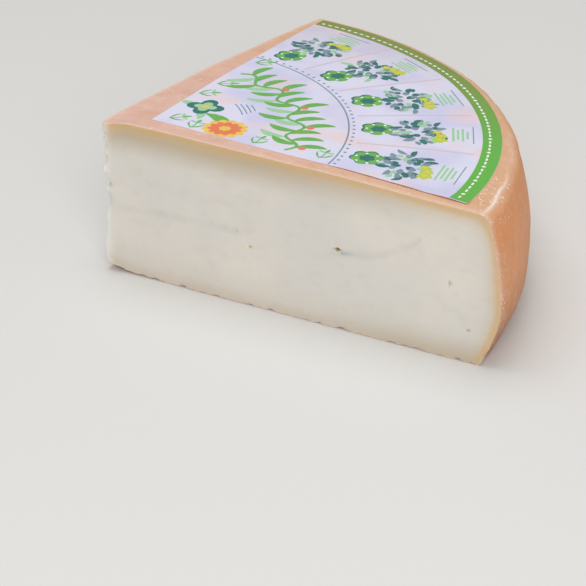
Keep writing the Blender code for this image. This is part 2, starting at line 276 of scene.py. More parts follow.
class CheeseFinish(bpy.types.PropertyGroup):
    """Colours and relief of the rind and the paste."""

    paste: sight("Paste", "The paste in the middle of a cut", (219, 213, 204))
    paste_cool: sight("Cool paste", "Cooler, slightly grey clouds in the paste", (213, 209, 202))
    ochre: sight("Ochre border", "The paste just under the rind", (206, 172, 124))
    crust: sight("Crust", "The crumbly line along the very foot of a cut", (226, 194, 164))
    # Painted shade along the foot of a cut and by its rind; it also tints the darker curd clouds
    foot: sight("Foot shade and curd", "Painted shade along the foot of a cut and by its rind, and the darker curd clouds", (192, 178, 156))
    ash_stain: sight("Ash stain", "The paste beside the ash", (188, 191, 184))
    # Painted light on the crumbly edge at the tip
    tip_light: sight("Tip light", "Painted light on the pale, crumbly edge at the tip", (240, 239, 233))
    # Painted shade inside the crack and in fine pits of the paste
    hollow: sight("Hollow shade", "Painted shade inside the crack, and in fine pits of the paste", (104, 96, 74))
    eye: sight("Eye", "The inside of a small shallow eye", (182, 170, 116))
    rind_top: sight("Upper rind", "The flat upper rind", (224, 182, 164))
    rind_outer: sight("Outer upper rind", "The upper rind by the shoulder", (221, 173, 136))
    rind_heel: sight("Heel", "The rind round the heel", (226, 157, 110))
    rind_bright: sight("Bright rind", "The rind just below the shoulder", (228, 150, 90))
    rind_foot: sight("Foot rind", "The rind low on the heel and below", (178, 122, 90))
    rind_deep: sight("Deep rind", "Darker mottling in the rind", (190, 122, 78))
    # The pale dry bloom, which also paints the highlight along the rind's cut edges
    bloom_and_highlight: sight("Bloom and highlight", "The pale dry bloom on the rind, and the painted highlight along its cut edges", (236, 214, 196))
    # Salt dots, and the shoulder's white line of salt and painted highlight
    salt: sight("Salt and highlight", "The white line on the shoulder, salt and painted highlight, and the salt dots on the shoulder and the foot", (250, 238, 228))
    grain: length("Grain", "Height of the rind's soft unevenness", 0.16 * MM)
    nibble: length("Nibble", "Depth of the crumbs missing along the cut edges", 0.45 * MM)


class AshFinish(bpy.types.PropertyGroup):
    """Colour and thickness of the ash layer."""

    ash: sight("Ash", "The ash where it lies thick", (178, 181, 177))
    ash_thin: sight("Thin ash", "The ash where the paste shows through", (198, 198, 190))
    thickness: length("Thickness", "Thickness of the ash where it is thick", 0.9 * MM)
    proud: length("Proud", "How far the ash stands out of a cut", 0.04 * MM)


class LabelFinish(bpy.types.PropertyGroup):
    """Colours, paper and print of the label."""

    paper: sight("Paper", "The paper", (222, 221, 241))
    lilac: sight("Lilac", "Lilac clouds on the paper", (204, 203, 234))
    # Painted shade on the paper towards the back cut
    far_shade: sight("Far paper shade", "Painted shade on the paper towards the back cut", (206, 198, 210))
    peach: sight("Peach", "Peach clouds on the paper", (236, 208, 204))
    band_green: sight("Band", "The band where it is fresh green", (98, 180, 64))
    olive: sight("Olive", "The band's far end", (128, 146, 64))
    green: sight("Green", "The leaves, the vine and the rosettes", (104, 176, 76))
    leaf: sight("Pale green", "The light leaves, the bars and the blossom's heart", (158, 208, 158))
    teal: sight("Teal", "The dark leaves, and the rosettes and the blossom", (36, 112, 104))
    slate: sight("Slate", "The grey leaves, the thin lines and the small dots", (124, 146, 160))
    lime: sight("Lime", "The small flowers of the posies", (190, 208, 66))
    blush: sight("Blush", "The soft lines between the fields", (212, 196, 206))
    orange: sight("Orange", "The inner petals of the marigold, and the berries", (232, 122, 78))
    yellow: sight("Yellow", "The outer petals of the marigold, and the hearts", (240, 196, 84))
    white: sight("White", "The beads on the band and the dots of the rosettes", (246, 248, 240))
    thickness: length("Thickness", "Thickness of the paper", 0.15 * MM)
    height: length("Height", "Height of the paper's underside over the rind", 0.1 * MM)
    lift: length("Lift", "How far the loose stretch of the edge lifts", 0.55 * MM)
    band_width: length("Band width", "Width of the band along the edge", 7.1 * MM)
    cells: IntProperty(
        name="Cells", description="Number of fields round the label", min=3, max=8, default=5
    )


class Studio(bpy.types.PropertyGroup):
    """The floor, the lights and the camera."""

    floor: sight("Floor", "The plain floor", (226, 225, 222))
    room: FloatProperty(
        name="Room light", description="Strength of the even light from all round",
        min=0.0, default=0.40,
    )
    above: watts("Light above", "Power of the large light above", 9.5)
    front: watts("Light in front", "Power of the large light before the front cut", 15.5)
    lens: FloatProperty(
        name="Lens", description="The camera's focal length",
        subtype="DISTANCE_CAMERA", unit="CAMERA", min=1.0, default=CAMERA_LENS,
    )


def linear(colour):
    """Turns a colour as it looks into the values that a shader takes."""
    return (*(
        channel / 12.92 if channel <= 0.04045 else ((channel + 0.055) / 1.055) ** 2.4
        for channel in colour
    ), 1.0)


class Recipe:
    """A material's nodes: the few kinds used here, and its body colour and relief so far."""

    def __init__(self, name, colour):
        self.material = bpy.data.materials.new(name)
        self.material.use_nodes = True
        self.tree = self.material.node_tree
        self.shader = self.tree.nodes["Principled BSDF"]
        self.place = self.add("ShaderNodeTexCoord").outputs["Object"]
        self.body = linear(colour)
        self.relief = None

    def add(self, kind, inputs=(), **settings):
        """A new node with its settings and what goes into it."""
        made = self.tree.nodes.new(kind)
        for name, value in settings.items():
            setattr(made, name, value)
        for name, value in dict(inputs).items():
            self.feed(made.inputs[name], value)
        return made

    def feed(self, socket, value):
        """Links a socket to another's output, or sets its number or colour."""
        if isinstance(value, bpy.types.NodeSocket):
            self.tree.links.new(value, socket)
        else:
            socket.default_value = value

    def value(self, name):
        """A number that each point of the mesh carries."""
        return self.add("ShaderNodeAttribute", attribute_name=name).outputs["Fac"]

    def back(self):
        """How far back a place is, along +Y from the origin."""
        return self.add("ShaderNodeSeparateXYZ", {"Vector": self.place}).outputs["Y"]

    def cloud(self, size, detail=2.0, rough=0.5, shift=0.0, stretch=(1.0, 1.0, 1.0)):
        """Soft noise from 0 to 1, its lumps about as long as size."""
        mapped = self.add("ShaderNodeMapping", {
            "Vector": self.place, "Location": (shift, shift, shift),
            "Scale": tuple(part / size for part in stretch),
        })
        made = self.add("ShaderNodeTexNoise", {
            "Vector": mapped.outputs["Vector"], "Scale": 1.0, "Detail": detail,
            "Roughness": rough,
        })
        return made.outputs["Fac"]

    def fade(self, value, start, end):
        """0 up to start and 1 from end, smooth between; start may be above end."""
        first, last = (1.0, 0.0) if start > end else (0.0, 1.0)
        made = self.add("ShaderNodeMapRange", {
            "Value": value, "From Min": min(start, end), "From Max": max(start, end),
            "To Min": first, "To Max": last,
        }, interpolation_type="SMOOTHSTEP")
        return made.outputs["Result"]

    def patches(self, size, detail, rough, start, end, shift=0.0):
        """Patches of about a size: 0 where the noise is up to start, and 1 from end."""
        return self.fade(self.cloud(size, detail, rough, shift), start, end)

    def spread(self, value, low, high):
        """A value of 0 to 1 carried to between low and high."""
        made = self.add("ShaderNodeMapRange", {"Value": value, "To Min": low, "To Max": high})
        return made.outputs["Result"]

    def maths(self, operation, first, second=0.0):
        """One sum on two numbers."""
        return self.add("ShaderNodeMath", {0: first, 1: second}, operation=operation).outputs[0]

    def times(self, first, second):
        """The product of two numbers."""
        return self.maths("MULTIPLY", first, second)

    def mix(self, share, first, second):
        """A colour between two others."""
        inputs = {0: share, 6: first, 7: second}
        made = self.add("ShaderNodeMix", inputs, data_type="RGBA", clamp_factor=True)
        return made.outputs[2]

    def tint(self, share, colour, weight=None):
        """Lays a colour over the body colour, by a share of 0 to 1 and a weight."""
        if weight is not None:
            share = self.times(share, weight)
        self.body = self.mix(share, self.body, linear(colour))

    def bump(self, height, depth):
        """Lays fine relief, from a height of 0 to 1, over the relief so far."""
        made = self.add("ShaderNodeBump", {"Height": height, "Distance": depth})
        if self.relief is not None:
            self.feed(made.inputs["Normal"], self.relief)
        self.relief = made.outputs["Normal"]

    def finish(self, roughness, **sockets):
        """Feeds the shader and gives the material."""
        sockets.update(Base_Color=self.body, Roughness=roughness, Normal=self.relief)
        for name, value in sockets.items():
            self.feed(self.shader.inputs[name.replace("_", " ")], value)
        return self.material


def rind_material(finish):
    """Washed rind: pinkish on top, apricot round the heel, with bloom, specks and cloth marks, a
    white crest line of salt and painted highlight, and painted highlight along the cut edges.
    """
    rind = Recipe("rind", finish.rind_heel)
    up = rind.value("rind_up")
    outer = rind.fade(rind.value("from_middle"), 60.0, 165.0)
    top = rind.mix(outer, linear(finish.rind_top), linear(finish.rind_outer))
    rind.body = rind.mix(rind.fade(up, 0.92, 0.995), rind.body, top)
    bright = rind.times(rind.fade(up, 0.62, 0.86), rind.fade(up, 1.0, 0.95))
    rind.tint(bright, finish.rind_bright, 0.6)
    rind.tint(rind.fade(up, 0.58, 0.04), finish.rind_foot)
    rind.tint(rind.patches(15 * MM, 4.0, 0.55, 0.46, 0.74), finish.rind_deep, 0.20)
    rind.tint(rind.patches(2.2 * MM, 3.0, 0.6, 0.56, 0.72, 3.1), finish.rind_deep, 0.22)
    dust = rind.patches(5.5 * MM, 4.0, 0.65, 0.50, 0.76, 7.7)
    rind.tint(dust, finish.bloom_and_highlight, 0.34)
    # The shoulder's white line: salt, and a painted highlight on the crest
    streak = rind.patches(2.4 * MM, 3.0, 0.6, 0.26, 0.50, 1.9)
    rind.tint(rind.times(rind.value("crest"), streak), finish.salt)
    rind.tint(salt_dots(rind), finish.salt)
    speck = rind.patches(1.1 * MM, 1.0, 0.4, 0.66, 0.74, 5.3)
    rind.tint(speck, finish.bloom_and_highlight, rind.patches(17 * MM, 2.0, 0.5, 0.44, 0.66, 2.6))
    # Painted highlight: the rind lightens along the cut edges
    edge_highlight = rind.cloud(1.6 * MM, 3.0, 0.6, 4.4)
    rind.tint(rind.value("edge_near"), finish.bloom_and_highlight, edge_highlight)
    press_cloth(rind)
    rind.bump(rind.cloud(1.5 * MM, 4.0, 0.65), 0.16 * MM)
    rind.bump(rind.cloud(0.45 * MM, 2.0, 0.6), 0.05 * MM)
    return rind.finish(
        rind.spread(dust, 0.62, 0.85), Subsurface_Weight=0.12, Subsurface_Scale=0.0015,
        Subsurface_Radius=(1.0, 0.5, 0.25), Specular_IOR_Level=0.35,
    )


def press_cloth(rind):
    """Lays the faint relief of the cloth that the wheel was pressed in, worn off in places."""
    lines = rind.add("ShaderNodeCombineXYZ", {"X": rind.value("imprint")})
    weave = rind.add("ShaderNodeTexWave", {
        "Vector": lines.outputs["Vector"], "Scale": 0.12, "Distortion": 1.6, "Detail": 2.0,
    }, bands_direction="X", wave_profile="SIN")
    kept = rind.times(rind.patches(23 * MM, 2.0, 0.5, 0.42, 0.62, 9.1), rind.value("cloth"))
    rind.bump(rind.times(weave.outputs["Fac"], kept), 0.07 * MM)


def salt_dots(rind):
    """Where fine white dots lie, thickest where the mesh says so."""
    mapped = rind.add("ShaderNodeMapping", {
        "Vector": rind.place, "Scale": (1.0 / SALT_CELL,) * 3,
    })
    cells = rind.add("ShaderNodeTexVoronoi", {"Vector": mapped.outputs["Vector"], "Scale": 1.0})
    chance = rind.add("ShaderNodeSeparateColor", {"Color": cells.outputs["Color"]})
    salted = rind.maths("SUBTRACT", rind.value("salt"), chance.outputs["Red"])
    dot = rind.fade(cells.outputs["Distance"], 0.42, 0.22)
    return rind.times(dot, rind.fade(salted, 0.0, 0.15))


def paste_material(finish):
    """Ivory paste: soft clouds, knife streaks, an ochre border under the rind and ash stains, with
    painted shade towards the rind and the foot, painted light on the tip's edge and painted shade
    in the crack and fine pits.
    """
    paste = Recipe("paste", finish.paste)
    depth = paste.value("rind_depth")
    base = paste.value("base_depth")
    out = paste.value("from_middle")
    hollow = paste.value("hollow")
    paste.tint(paste.patches(34 * MM, 3.0, 0.5, 0.36, 0.66), finish.paste_cool)
    curd = paste.cloud(7 * MM, 3.0, 0.6, 3.3, (1.0, 1.0, 1.6))
    paste.tint(paste.fade(curd, 0.50, 0.80), finish.foot, 0.18)
    # Painted shade: the paste darkens towards the rind and the foot, most in the lower corner by
    # the heel, and is darker under the upper rind near the tip
    inner = paste.times(paste.fade(depth, 14.0, 2.0), paste.fade(out, 165.0, 60.0))
    painted_shade = paste.times(paste.fade(depth, 17.0, 1.0), 0.24)
    paste.tint(paste.maths("ADD", painted_shade, inner), finish.foot, 0.9)
    outer = paste.times(paste.fade(out, 90.0, 170.0), paste.fade(base, 11.0, 0.0))
    painted_shade = paste.times(paste.fade(base, 15.0, 0.5), 0.26)
    paste.tint(paste.maths("ADD", painted_shade, paste.times(outer, 0.6)), finish.foot)
    ragged = paste.cloud(19 * MM, 3.0, 0.55, 6.2)
    shifted = paste.maths("SUBTRACT", depth, paste.times(ragged, 3.2))
    paste.tint(paste.fade(shifted, 5.4, -0.8), finish.ochre, 0.40)
    paste.tint(paste.fade(shifted, 2.0, -0.9), finish.ochre, 0.75)
    # Painted shade in a ragged band along the foot
    low = paste.fade(paste.maths("SUBTRACT", base, paste.times(ragged, 3.0)), 4.2, -0.9)
    paste.tint(low, finish.foot, paste.times(ragged, 0.62))
    broken = paste.patches(5 * MM, 3.0, 0.6, 0.34, 0.60, 7.1)
    paste.tint(paste.times(paste.fade(base, 1.0, 0.2), broken), finish.crust, 0.8)
    paste.tint(ash_smear(paste), finish.ash_stain, 0.5)
    # Painted light on the crumbly edge at the tip
    paste.tint(paste.value("tip_near"), finish.tip_light, 0.7)
    paste.tint(paste.fade(hollow, 0.0, 0.3), finish.eye)
    # Painted shade inside the crack, and in fine pits over the paste
    paste.tint(paste.fade(hollow, 0.35, 0.9), finish.hollow)
    paste.tint(paste.patches(0.9 * MM, 2.0, 0.5, 0.70, 0.82, 2.2), finish.hollow, 0.16)
    paste.bump(paste.cloud(3.4 * MM, 3.0, 0.6, 1.2, (0.12, 0.12, 1.0)), 0.10 * MM)
    paste.bump(paste.cloud(1.3 * MM, 3.0, 0.6), 0.07 * MM)
    return paste.finish(
        paste.spread(paste.cloud(11 * MM, 3.0, 0.6, 5.0), 0.40, 0.62), Subsurface_Weight=0.35,
        Subsurface_Scale=0.0022, Subsurface_Radius=(1.0, 0.75, 0.45), Specular_IOR_Level=0.4,
    )


def ash_smear(paste):
    """Where ash has been smeared over the paste: near the sheet, and broken up."""
    sway = paste.maths("SUBTRACT", paste.cloud(9 * MM, 2.0, 0.5, 5.9), 0.5)
    gap = paste.maths("ADD", paste.value("ash_gap"), paste.times(sway, 2.4))
    near = paste.fade(paste.maths("ABSOLUTE", gap), 2.7, 0.2)
    broken = paste.patches(6.0 * MM, 3.0, 0.6, 0.22, 0.58, 8.8)
    return paste.times(paste.times(near, paste.value("ash_shows")), broken)


def ash_material(finish):
    """Ash: matt blue-grey, thin and cloudy."""
    ash = Recipe("ash", finish.ash_thin)
    ash.tint(ash.patches(3.2 * MM, 4.0, 0.65, 0.38, 0.62), finish.ash)
    ash.bump(ash.cloud(0.6 * MM, 3.0, 0.6), 0.05 * MM)
    return ash.finish(0.82)


def paper_material(finish):
    """Paper: satin and pale, with faint lilac and peach clouds, painted shade towards the back cut
    and a fine tooth.
    """
    paper = Recipe("label_paper", finish.paper)
    paper.tint(paper.patches(26 * MM, 2.0, 0.5, 0.40, 0.64), finish.lilac, 0.8)
    # Painted shade: the paper darkens towards the back cut
    paper.tint(paper.fade(paper.back(), 0.0, 0.078), finish.far_shade, 0.8)
    paper.tint(paper.patches(21 * MM, 3.0, 0.55, 0.50, 0.72, 4.7), finish.peach, 0.7)
    damp = paper.cloud(9 * MM, 2.0, 0.5, 2.9)
    paper.bump(damp, 0.10 * MM)
    paper.bump(paper.cloud(0.5 * MM, 3.0, 0.7, 1.5, (1.0, 0.35, 1.0)), 0.02 * MM)
    return paper.finish(paper.spread(damp, 0.55, 0.72))


def ink_material(name, colour):
    """Printing ink, slightly uneven in tone."""
    ink = Recipe(name, colour)
    pale = tuple(0.72 * channel + 0.28 for channel in colour)
    ink.tint(ink.patches(2.6 * MM, 4.0, 0.7, 0.42, 0.80), pale, 0.35)
    return dried(ink)


def band_material(finish):
    """The band's ink: green near the front cut, olive towards the back one."""
    ink = Recipe("ink_band", finish.band_green)
    sway = ink.times(ink.cloud(30 * MM, 2.0, 0.5), 0.03)
    ink.tint(ink.fade(ink.maths("ADD", ink.back(), sway), -0.02, 0.07), finish.olive)
    ink.tint(ink.patches(3.0 * MM, 4.0, 0.7, 0.46, 0.80), finish.leaf, 0.08)
    return dried(ink)


def dried(ink):
    """Gives an ink its fine relief and satin sheen."""
    ink.bump(ink.cloud(0.5 * MM, 2.0, 0.6), 0.01 * MM)
    return ink.finish(0.55)


def floor_material(colour):
    """The studio floor: plain, pale and matt."""
    floor = Recipe("floor", colour)
    floor.tint(floor.cloud(0.4, 2.0, 0.5), tuple(0.985 * channel for channel in colour))
    floor.bump(floor.cloud(0.8 * MM, 2.0, 0.5), 0.02 * MM)
    return floor.finish(0.75)


def noise_at(x, y, z, size):
    """Smooth noise at many points, by the same rule as the solids."""
    points = np.column_stack(np.broadcast_arrays(x, y, z)).reshape(-1, 3) / size
    return np.array([noise.noise(Vector(point)) for point in points.tolist()])


def smooth(value, start, end):
    """0 before start and 1 after end, smooth between."""
    share = np.clip((value - start) / (end - start), 0.0, 1.0)
    return share * share * (3.0 - 2.0 * share)


def bell(value, reach):
    """1 where a value is 0, and next to nothing from twice the reach on."""
    return np.exp(-(value / reach) ** 2)


def from_axis(x, y):
    """Distance of places on the plan from the wheel's middle."""
    return np.hypot(x - AXIS_X, y - AXIS_Y)


def from_back(x, y):
    """Distance of places on the plan from the back cut."""
    return x * math.sin(BACK_TURN) - y * math.cos(BACK_TURN)


def top_height(x, y):
    """Height of the upper rind over places on the plan."""
    fall = TOP_FALL * (from_axis(x, y) / TOP_FALL_REACH) ** TOP_FALL_POWER
    sink = TIP_SINK * bell(np.hypot(x, y), TIP_SINK_REACH)
    wave = TOP_WAVE * noise_at(x, y, 0.0, TOP_WAVE_LENGTH)
    return MIDDLE_HEIGHT - fall - sink + wave


def base_height(x, y):
    """Height of the under side: flat, and lifted only close to the tip."""
    away = np.minimum(np.hypot(x, y), TIP_LIFT_END)
    return TIP_LIFT * np.exp(-away / TIP_LIFT_REACH) * (1.0 - away / TIP_LIFT_END)


def ash_height(x, y):
    """Height of the ash layer's middle."""
    out = from_axis(x, y)
    past = np.maximum(0.0, out - ASH_TURN_START) / (ASH_RADIUS - ASH_TURN_START)
    drop = ASH_TIP_DROP * np.exp(-np.hypot(x, y) / ASH_TIP_REACH)
    wave = ASH_WAVE * noise_at(x, y, 1.0, ASH_WAVE_LENGTH)
    return ASH_HEIGHT + ASH_RISE * out + ASH_TURN_UP * past ** ASH_TURN_POWER - drop + wave


def heel_radius(height):
    """Outer radius of the heel at a height, with its widest place at the belly."""
    above = np.maximum(0.0, height - BELLY_HEIGHT) / (RIM_HEIGHT - BELLY_HEIGHT)
    below = np.maximum(0.0, BELLY_HEIGHT - height) / BELLY_HEIGHT
    return WHEEL_RADIUS - DRAW_IN_ABOVE * above ** 2 - DRAW_IN_BELOW * below ** 2


def shoulder_radius():
    """Radius at which the flat top hands over to the shoulder."""
    return heel_radius(RIM_HEIGHT - SHOULDER_ROUND) - SHOULDER_ROUND


def foot_radius():
    """Radius at which the flat base hands over to the foot's round."""
    return heel_radius(FOOT_ROUND) - FOOT_ROUND


def reach(turn, radius):
    """How far from the tip a ray leaves the circle of a radius about the wheel's middle."""
    along = AXIS_X * np.cos(turn) + AXIS_Y * np.sin(turn)
    return along + np.sqrt(along ** 2 + radius ** 2 - AXIS_X ** 2 - AXIS_Y ** 2)


def round_rows(radius, height, size, start, end, steps):
    """Points of (radius, height) along a round of the outline, degrees from level."""
    angles = np.radians(np.linspace(start, end, steps + 1))
    return np.column_stack((radius + size * np.cos(angles), height + size * np.sin(angles)))


def evenly(points, steps):
    """A line of points made anew with equal steps."""
    steps_between = np.hypot(*np.diff(points, axis=0).T)
    run = np.concatenate(([0.0], np.cumsum(steps_between)))
    wanted = np.linspace(0.0, run[-1], steps + 1)
    return np.column_stack([np.interp(wanted, run, part) for part in points.T])


def outline_rows(turn):
    """The plain outline in the upright plane at a turn from the tip, as (reach, height)."""
    tip_rows = np.array(FLAT_TIP_ROWS) * MM
    far = reach(0.0, shoulder_radius())
    flat = np.concatenate((tip_rows, np.linspace(tip_rows[-1], far, FLAT_ROWS + 1)[1:])) / far
    top = np.column_stack((flat * reach(turn, shoulder_radius()), np.full(flat.size, RIM_HEIGHT)))
    base = np.column_stack((flat * reach(turn, foot_radius()), np.zeros(flat.size)))
    low, high = FOOT_ROUND, RIM_HEIGHT - SHOULDER_ROUND
    shoulder = round_rows(shoulder_radius(), high, SHOULDER_ROUND, 90, 45, ROUND_ROWS)
    foot = round_rows(foot_radius(), low, FOOT_ROUND, -45, -90, ROUND_ROWS)
    heights = np.linspace(high - 2 * MM, low + 2 * MM, 40)
    heel = np.vstack((
        round_rows(shoulder_radius(), high, SHOULDER_ROUND, 45, 10, 8),
        np.column_stack((heel_radius(heights), heights)),
        round_rows(foot_radius(), low, FOOT_ROUND, -10, -45, 8),
    ))
    heel = evenly(heel, HEEL_ROWS)
    side = np.vstack((shoulder[1:], heel[1:], foot[1:]))
    side[:, 0] = reach(turn, side[:, 0])
    return np.vstack((top, side, base[-2::-1]))


def cut_face(rows):
    """Fills the outline of one cut with a grid of (reach, height), tip to heel and foot to top."""
    across = len(FLAT_TIP_ROWS) + FLAT_ROWS + ROUND_ROWS
    top = rows[:across]
    base = rows[::-1][:across]
    heel = rows[across - 1:across + HEEL_ROWS][::-1]
    u = (top[:, 0] / top[-1, 0])[:, None, None]
    v = np.linspace(0.0, 1.0, HEEL_ROWS + 1)[None, :, None]
    flat = (1.0 - v) * base[:, None, :] + v * top[:, None, :]
    return flat + u * (heel[None, :, :] - ((1.0 - v) * base[-1] + v * top[-1]))


def eyes(cut):
    """The eyes of one cut in metres, each with its number in the list."""
    for number, (where, *sizes) in enumerate(EYES):
        if where == cut:
            yield number, *(size * MM for size in sizes)


def crowd(grid, cut):
    """Draws a cut's points together round its eyes, so that the eyes are finely meshed."""
    turn = 0.0 if cut == "front" else BACK_TURN
    for _, along, height, _, _, _ in eyes(cut):
        place = (np.array([along * math.cos(turn)]), np.array([along * math.sin(turn)]))
        plain = np.array((along, height * RIM_HEIGHT / top_height(*place)[0]))
        away = grid - plain
        near = bell(np.hypot(away[..., 0], away[..., 1]), EYE_CROWD_REACH)
        grid = plain + away * (1.0 - EYE_CROWD * near * border_free(grid.shape[:2]))[..., None]
    return grid


def border_free(shape):
    """0 on the border of a grid, 1 from a few rows in."""
    from_side = [np.minimum(np.arange(count), np.arange(count)[::-1]) for count in shape]
    inside = np.minimum(from_side[0][:, None], from_side[1][None, :])
    return np.clip(inside / 6.0, 0.0, 1.0)


def grid_faces(rows, columns, first):
    """The four-sided faces of a grid whose points are numbered row by row from first."""
    numbers = first + np.arange(rows * columns).reshape(rows, columns)
    return np.stack(
        (numbers[:-1, :-1], numbers[1:, :-1], numbers[1:, 1:], numbers[:-1, 1:]), axis=-1
    ).reshape(-1, 4)


def upright(rows, turn):
    """Sets places of (reach, height) up in the plane at a turn from the tip."""
    run, height = rows[..., 0], rows[..., 1]
    return np.stack((run * math.cos(turn), run * math.sin(turn), height), axis=-1)


def weld(points, faces, step):
    """Which points are kept when those within a step become one, and the faces renamed."""
    keys = np.round(points / step).astype(np.int64)
    _, kept, renamed = np.unique(keys, axis=0, return_index=True, return_inverse=True)
    return kept, renamed.reshape(-1)[faces]


def plain_quarter():
    """The plain quarter as welded points, faces and a mark for the faces of the cuts."""
    turns = np.linspace(0.0, BACK_TURN, TURN_STEPS + 1)
    shell = np.array([upright(outline_rows(turn), turn) for turn in turns])
    front = upright(crowd(cut_face(outline_rows(0.0)), "front"), 0.0)
    back = upright(crowd(cut_face(outline_rows(BACK_TURN)), "back"), BACK_TURN)
    points, faces, cuts, first = [], [], [], 0
    for patch, is_cut, flip in ((shell, 0, True), (front, 1, False), (back, 1, True)):
        made = grid_faces(*patch.shape[:2], first)
        faces.append(made[:, ::-1] if flip else made)
        cuts.append(np.full(len(made), is_cut))
        points.append(patch.reshape(-1, 3))
        first += len(points[-1])
    points = np.vstack(points)
    kept, faces = weld(points, np.vstack(faces), PLAIN_WELD)
    return points[kept], faces, np.concatenate(cuts)


def whole_faces(faces):
    """Faces as lists of their different points, without those that have closed up."""
    kept, which = [], []
    for number, face in enumerate(faces.tolist()):
        around = [point for i, point in enumerate(face) if point != face[i - 1]]
        if len(around) > 2:
            kept.append(around)
            which.append(number)
    return kept, which


def knife_waves(x, y, z):
    """How far the knife has strayed at the front cut and at the back one."""
    return (
        KNIFE_WAVE * noise_at(x, 2.0, z, KNIFE_WAVE_LENGTH),
        KNIFE_WAVE * noise_at(3.0, y, z, KNIFE_WAVE_LENGTH),
    )


def cut_swell(x, y, z):
    """The broad, shallow swell of both cuts."""
    return CUT_SWELL * noise_at(x, y, z, CUT_SWELL_LENGTH)


def placed_quarter(plain):
    """Carries points of the plain quarter to the real, uneven one."""
    x, y, z = plain.T
    share = (from_axis(x, y) / WHEEL_RADIUS) ** 6
    turn = np.arctan2(y - AXIS_Y, x - AXIS_X)
    wobble = HEEL_WOBBLE * np.cos(HEEL_WOBBLE_COUNT * (turn - HEEL_WOBBLE_TURN))
    grow = share * (wobble + HEEL_LUMP * noise_at(x, y, z, HEEL_LUMP_LENGTH)) / WHEEL_RADIUS
    px = x + (x - AXIS_X) * grow
    py = y + (y - AXIS_Y) * grow
    low = base_height(px, py)
    pz = low + z / RIM_HEIGHT * (top_height(px, py) - low)
    away = np.hypot(x, y)
    clear = smooth(away, 0.0, KNIFE_WAVE_START)
    front_wave, back_wave = knife_waves(px, py, pz)
    moved_y = py + clear * front_wave * bell(y, KNIFE_WAVE_REACH)
    moved_x = px + clear * back_wave * bell(from_back(x, y), KNIFE_WAVE_REACH)
    ahead, aside = tip_round(away)
    facing = x ** 2 / np.maximum(away ** 2, 1e-12)
    facing[away < 1e-7] = 0.5
    wear = tip_wear(px, py, pz, away)
    moved_x = moved_x + facing * ahead + (1.0 - facing) * aside + wear
    moved_y = moved_y + facing * aside + (1.0 - facing) * ahead + wear
    return np.column_stack((moved_x, moved_y, pz))


def tip_wear(x, y, z, away):
    """How far crumbs, bites and flakes set the tip's edge back."""
    wear = TIP_CRUMB * noise_at(0.0, 0.0, z, TIP_CRUMB_LENGTH)
    for height, depth, half in np.array(TIP_BITES) * MM:
        wear = wear + depth * bell(z - height, half)
    flakes = np.abs(noise_at(1.0, 5.0, z, TIP_FLAKE_LENGTH))
    flakes = flakes + 0.4 * noise_at(x, y, z, TIP_FLAKE_GRIT)
    flakes = TIP_FLAKE * flakes * smooth(z, *TIP_FLAKE_START)
    wear = wear * bell(away, TIP_WEAR_REACH)
    return wear + flakes * bell(away, TIP_FLAKE_REACH)


def tip_round(away):
    """Shift along a cut and out of it that rounds the edge where the two cuts meet."""
    arc = TIP_ROUND * math.pi / 4
    middle = TIP_ROUND - TIP_FLARE
    angle = math.radians(225) + np.minimum(away / arc, 1.0) * math.pi / 4
    ahead = middle + TIP_ROUND * np.cos(angle) - np.minimum(away, arc)
    aside = middle + TIP_ROUND * np.sin(angle)
    past = np.maximum(away - arc, 0.0)
    return ahead * np.exp(-past / (3 * MM)), aside * bell(past, 6 * MM)


def in_label(x, y):
    """How far inside the label's edge places on the plan are; below 0 is outside."""
    radius = np.hypot(x - LABEL_X, y - LABEL_Y)
    return np.minimum(LABEL_RADIUS - radius, np.minimum(*from_sides(x, y)))


def from_sides(x, y):
    """How far inside the label's front and back sides places on the plan are."""
    front = y - (LABEL_FRONT_MARGIN - LABEL_FRONT_LEAN * x)
    return front, x - (LABEL_BACK_MARGIN - LABEL_BACK_LEAN * y)


def ash_shows(along, cut):
    """How strongly the ash shows at places along a cut."""
    marks = np.array(ASH_SHOWS_FRONT if cut == "front" else ASH_SHOWS_BACK)
    return np.interp(along, marks[:, 0] * MM, marks[:, 1])


def show(name, points, faces, materials, sharp=None):
    """A new piece from points measured from the tip, smooth but for edges above an angle."""
    mesh = bpy.data.meshes.new(name)
    mesh.from_pydata((points + TIP).tolist(), [], faces)
    for material in materials:
        mesh.materials.append(material)
    mesh.update()
    if sharp is not None:
        mesh.shade_smooth()
        mesh.set_sharp_from_angle(angle=sharp)
    obj = bpy.data.objects.new(name, mesh)
    bpy.context.scene.collection.objects.link(obj)
    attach(obj, "root")
    return obj


def point_normals(points, faces):
    """The direction out of the surface at each point."""
    mesh = bpy.data.meshes.new("draft")
    mesh.from_pydata(points.tolist(), [], faces)
    mesh.update()
    normals = np.zeros(len(points) * 3, np.float32)
    mesh.vertices.foreach_get("normal", normals)
    bpy.data.meshes.remove(mesh)
    return normals.reshape(-1, 3).astype(float)


def hollows(points, cut_points):
    """Depth of the eyes and the crack at each point, and how far it takes the eye colour and the
    painted shade there.
    """
    depth, dark = np.zeros((2, len(points)))
    x, y, z = points.T
    ragged = 1.0 + 0.3 * noise_at(x, y, z, EYE_RAGGED_LENGTH)
    for cut, run, off in (("front", x, y), ("back", y, from_back(x, y))):
        here = (off < EYE_REACH_IN) & cut_points
        for number, along, height, wide, tall, deep in eyes(cut):
            away = np.hypot((run - along) / wide, (z - height) / tall) * ragged
            inside = np.where(here, np.clip(1.0 - away ** 2, 0.0, 1.0), 0.0)
            depth += deep * np.sqrt(inside) * (1.0 if number == CRACK else EYE_SHALLOW)
            dark = np.maximum(dark, inside ** 0.6 * (CRACK_DARK if number == CRACK else EYE_DARK))
    return depth, dark


